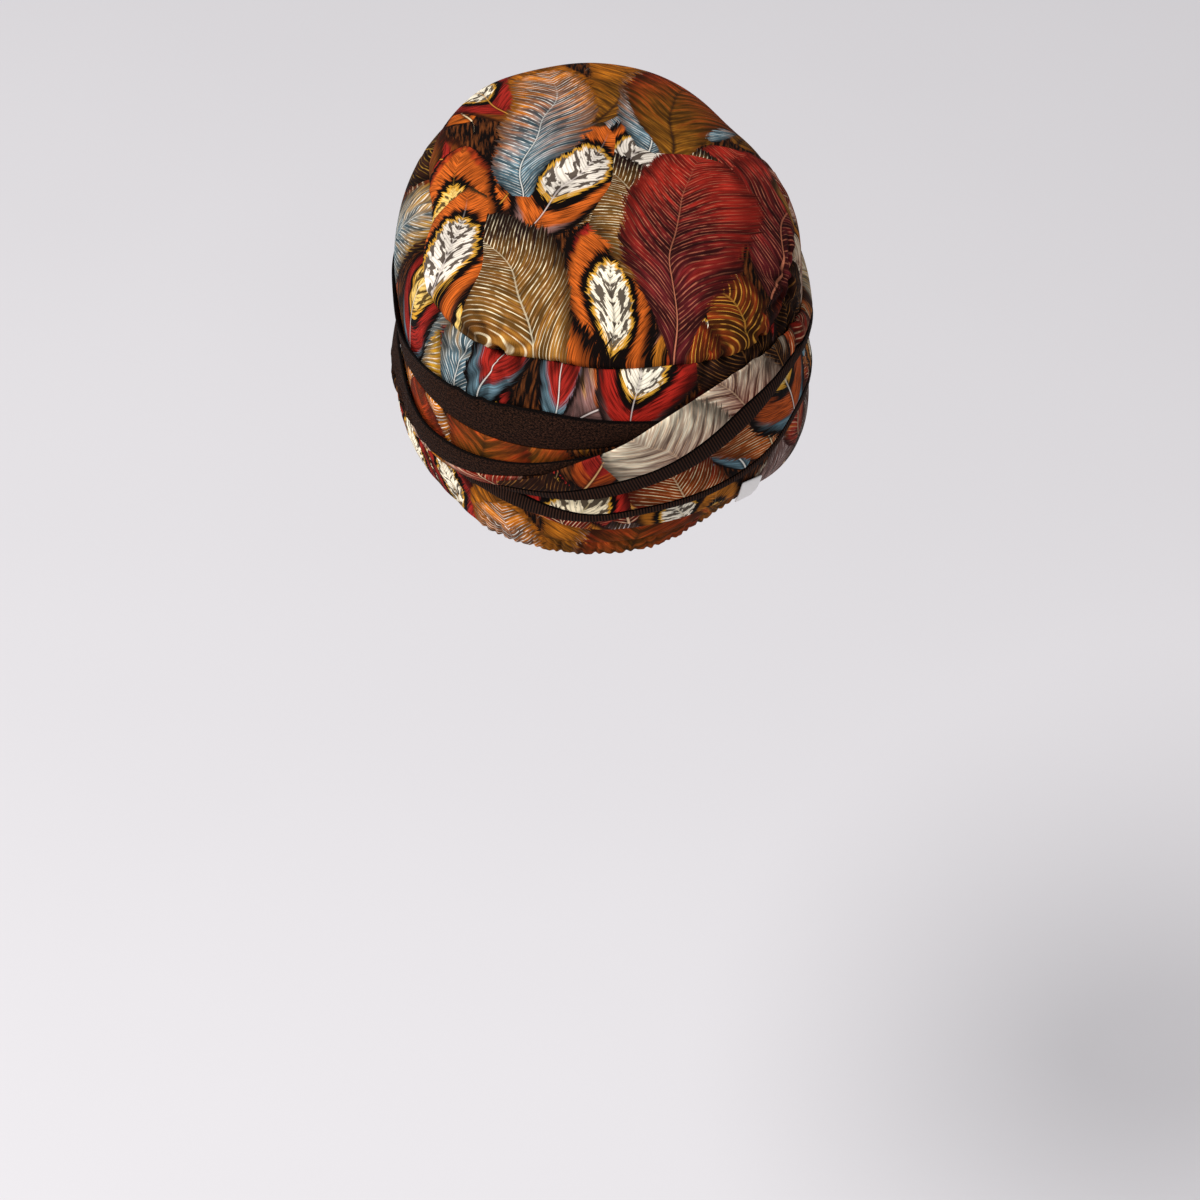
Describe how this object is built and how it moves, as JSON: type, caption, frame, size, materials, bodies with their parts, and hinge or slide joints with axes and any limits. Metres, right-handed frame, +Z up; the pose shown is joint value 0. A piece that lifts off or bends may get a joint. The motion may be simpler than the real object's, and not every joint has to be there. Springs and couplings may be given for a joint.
{
  "type": "turban headwrap",
  "caption": "Pre-sewn turban headwrap in printed jersey: domed cap with gathered hem, covered by draped wraps with dark brown edges that cross at the back.",
  "frame": {"origin": "centre of the head opening, in the plane of the rim", "axes": "+Z up the crown axis away from the head opening, -Y the wearer's front, +Y the back, +X the wearer's left"},
  "size_m": [0.1882, 0.2278, 0.14],
  "materials": {
    "crown_panel": "printed viscose jersey, matt",
    "side_wall": "printed viscose jersey, matt",
    "gathered_hem": "printed viscose jersey over elastic, matt",
    "base_wrap": "printed viscose jersey, matt",
    "right_lower_wrap": "printed viscose jersey, matt",
    "right_lower_binding": "ribbed knit binding, matt",
    "left_upper_wrap": "printed viscose jersey, matt",
    "left_upper_facing": "plain jersey facing, matt",
    "left_lower_wrap": "printed viscose jersey, matt",
    "left_lower_facing": "plain jersey facing, matt",
    "right_upper_wrap": "printed viscose jersey, matt",
    "right_upper_binding": "ribbed knit binding, matt",
    "side_tab": "white woven tape, matt"
  },
  "bodies": {
    "root": {"crown_panel": "crown_panel", "side_wall": "side_wall", "gathered_hem": "gathered_hem", "base_wrap": "base_wrap", "right_lower_wrap": "right_lower_wrap", "right_lower_binding": "right_lower_binding", "left_upper_wrap": "left_upper_wrap", "left_upper_facing": "left_upper_facing", "left_lower_wrap": "left_lower_wrap", "left_lower_facing": "left_lower_facing", "right_upper_wrap": "right_upper_wrap", "right_upper_binding": "right_upper_binding", "side_tab": "side_tab"}
  },
  "joints": []
}
